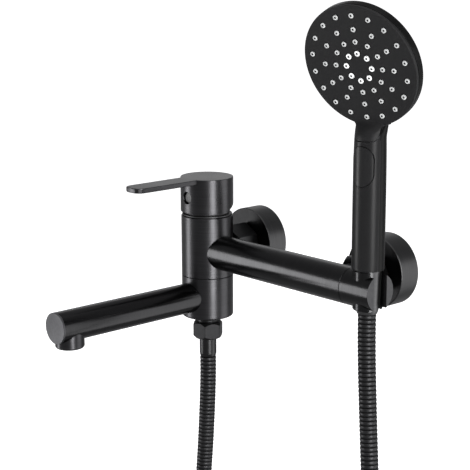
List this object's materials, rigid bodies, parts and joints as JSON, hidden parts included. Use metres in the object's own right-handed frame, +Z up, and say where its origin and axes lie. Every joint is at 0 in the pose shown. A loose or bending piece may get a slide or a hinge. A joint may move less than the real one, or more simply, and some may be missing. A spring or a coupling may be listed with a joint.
{
  "type": "wall mounted bath mixer faucet",
  "caption": "Wall mounted bath mixer with a swivel spout, top lever, side bar with a handset holder, pillar handset and metal hose.",
  "frame": {"origin": "on the wall plane, midway between the centres of the two wall rosettes, level with the bar", "axes": "+X along the bar towards the handset holder, +Y into the wall, +Z up; the faucet is on the side y < 0"},
  "size_m": [0.2633, 0.237, 0.6969],
  "materials": {
    "black_metal": "satin black finish over turned brass, fine brushing",
    "face_metal": "satin black end faces that read lighter",
    "black_plastic": "fine matt black moulding",
    "gloss_plastic": "satin to gloss black handle",
    "nozzle_silicone": "pale grey silicone",
    "hose_metal": "black wound metal hose",
    "brass": "machined brass",
    "seal_rubber": "black rubber",
    "ceramic": "ground ceramic",
    "steel": "plain steel",
    "white_plastic": "white moulding"
  },
  "bodies": {
    "root": {"rosette_left": "black_metal", "rosette_right": "black_metal", "eccentric_union_left": "brass", "eccentric_union_right": "brass", "union_nut_left": "black_metal", "union_nut_right": "black_metal", "filter_washer_left": "seal_rubber", "filter_washer_right": "seal_rubber", "check_valve_left": "white_plastic", "check_valve_right": "white_plastic", "valve_body": "black_metal", "cartridge_gasket": "seal_rubber", "cartridge_housing": "white_plastic", "ceramic_disc_fixed": "ceramic", "retaining_nut": "brass", "dome_ring": "black_metal", "core_seal_upper": "seal_rubber", "core_seal_lower": "seal_rubber", "retaining_ring": "steel", "outlet_nipple": "brass", "hose_nut": "black_metal", "hose_washer": "seal_rubber", "hose_ferrule": "hose_metal", "bar_tube": "black_metal", "supply_tube": "brass", "supply_elbow": "brass", "bar_plug": "brass", "holder_body": "black_metal", "holder_liner": "black_plastic", "hose_left_leg": "hose_metal", "hose_right_leg": "hose_metal", "hose_coil": "hose_metal", "hose_tie": "seal_rubber"},
    "turret": {"cartridge_turret": "white_plastic", "ceramic_disc_moving": "ceramic"},
    "lever": {"cartridge_stem": "steel", "lever_cap": "black_metal", "lever_grub_screw": "steel", "indicator_plug": "seal_rubber"},
    "spout": {"spout_collar": "black_metal", "spout_tube": "black_metal", "spout_end_cap": "face_metal", "diverter_sleeve": "white_plastic", "slide_ring": "white_plastic", "aerator_housing": "black_metal", "aerator_insert": "black_plastic", "aerator_washer": "seal_rubber"},
    "handset": {"handset_shell": "gloss_plastic", "handset_face": "black_plastic", "nozzle_mat": "nozzle_silicone", "spray_plate": "white_plastic", "handset_nipple": "brass", "handset_washer": "seal_rubber", "hose_cone_nut": "face_metal"},
    "button": {"mode_button": "gloss_plastic", "button_spring": "steel"}
  },
  "joints": [
    {"name": "lever_turn", "type": "hinge", "parent": "root", "child": "turret", "pos_m": [-0.075, -0.0655, 0.036], "axis": [0, 0, 1], "range_deg": [-45, 45]},
    {"name": "lever_lift", "type": "hinge", "parent": "turret", "child": "lever", "pos_m": [-0.075, -0.0655, 0.036], "axis": [-1, 0, 0], "range_deg": [0, 25]},
    {"name": "spout_swivel", "type": "hinge", "parent": "root", "child": "spout", "pos_m": [-0.075, -0.0655, -0.0393], "axis": [0, 0, 1], "range_deg": [-90, 90]},
    {"name": "handset_lift", "type": "slide", "parent": "root", "child": "handset", "axis": [0, 0, 1], "range_m": [0, 0.05], "deforming": ["hose_right_leg"]},
    {"name": "button_press", "type": "slide", "parent": "handset", "child": "button", "axis": [-0.165, 0.9863, 0], "range_m": [0, 0.0015], "stiffness_N_per_m": 800}
  ]
}
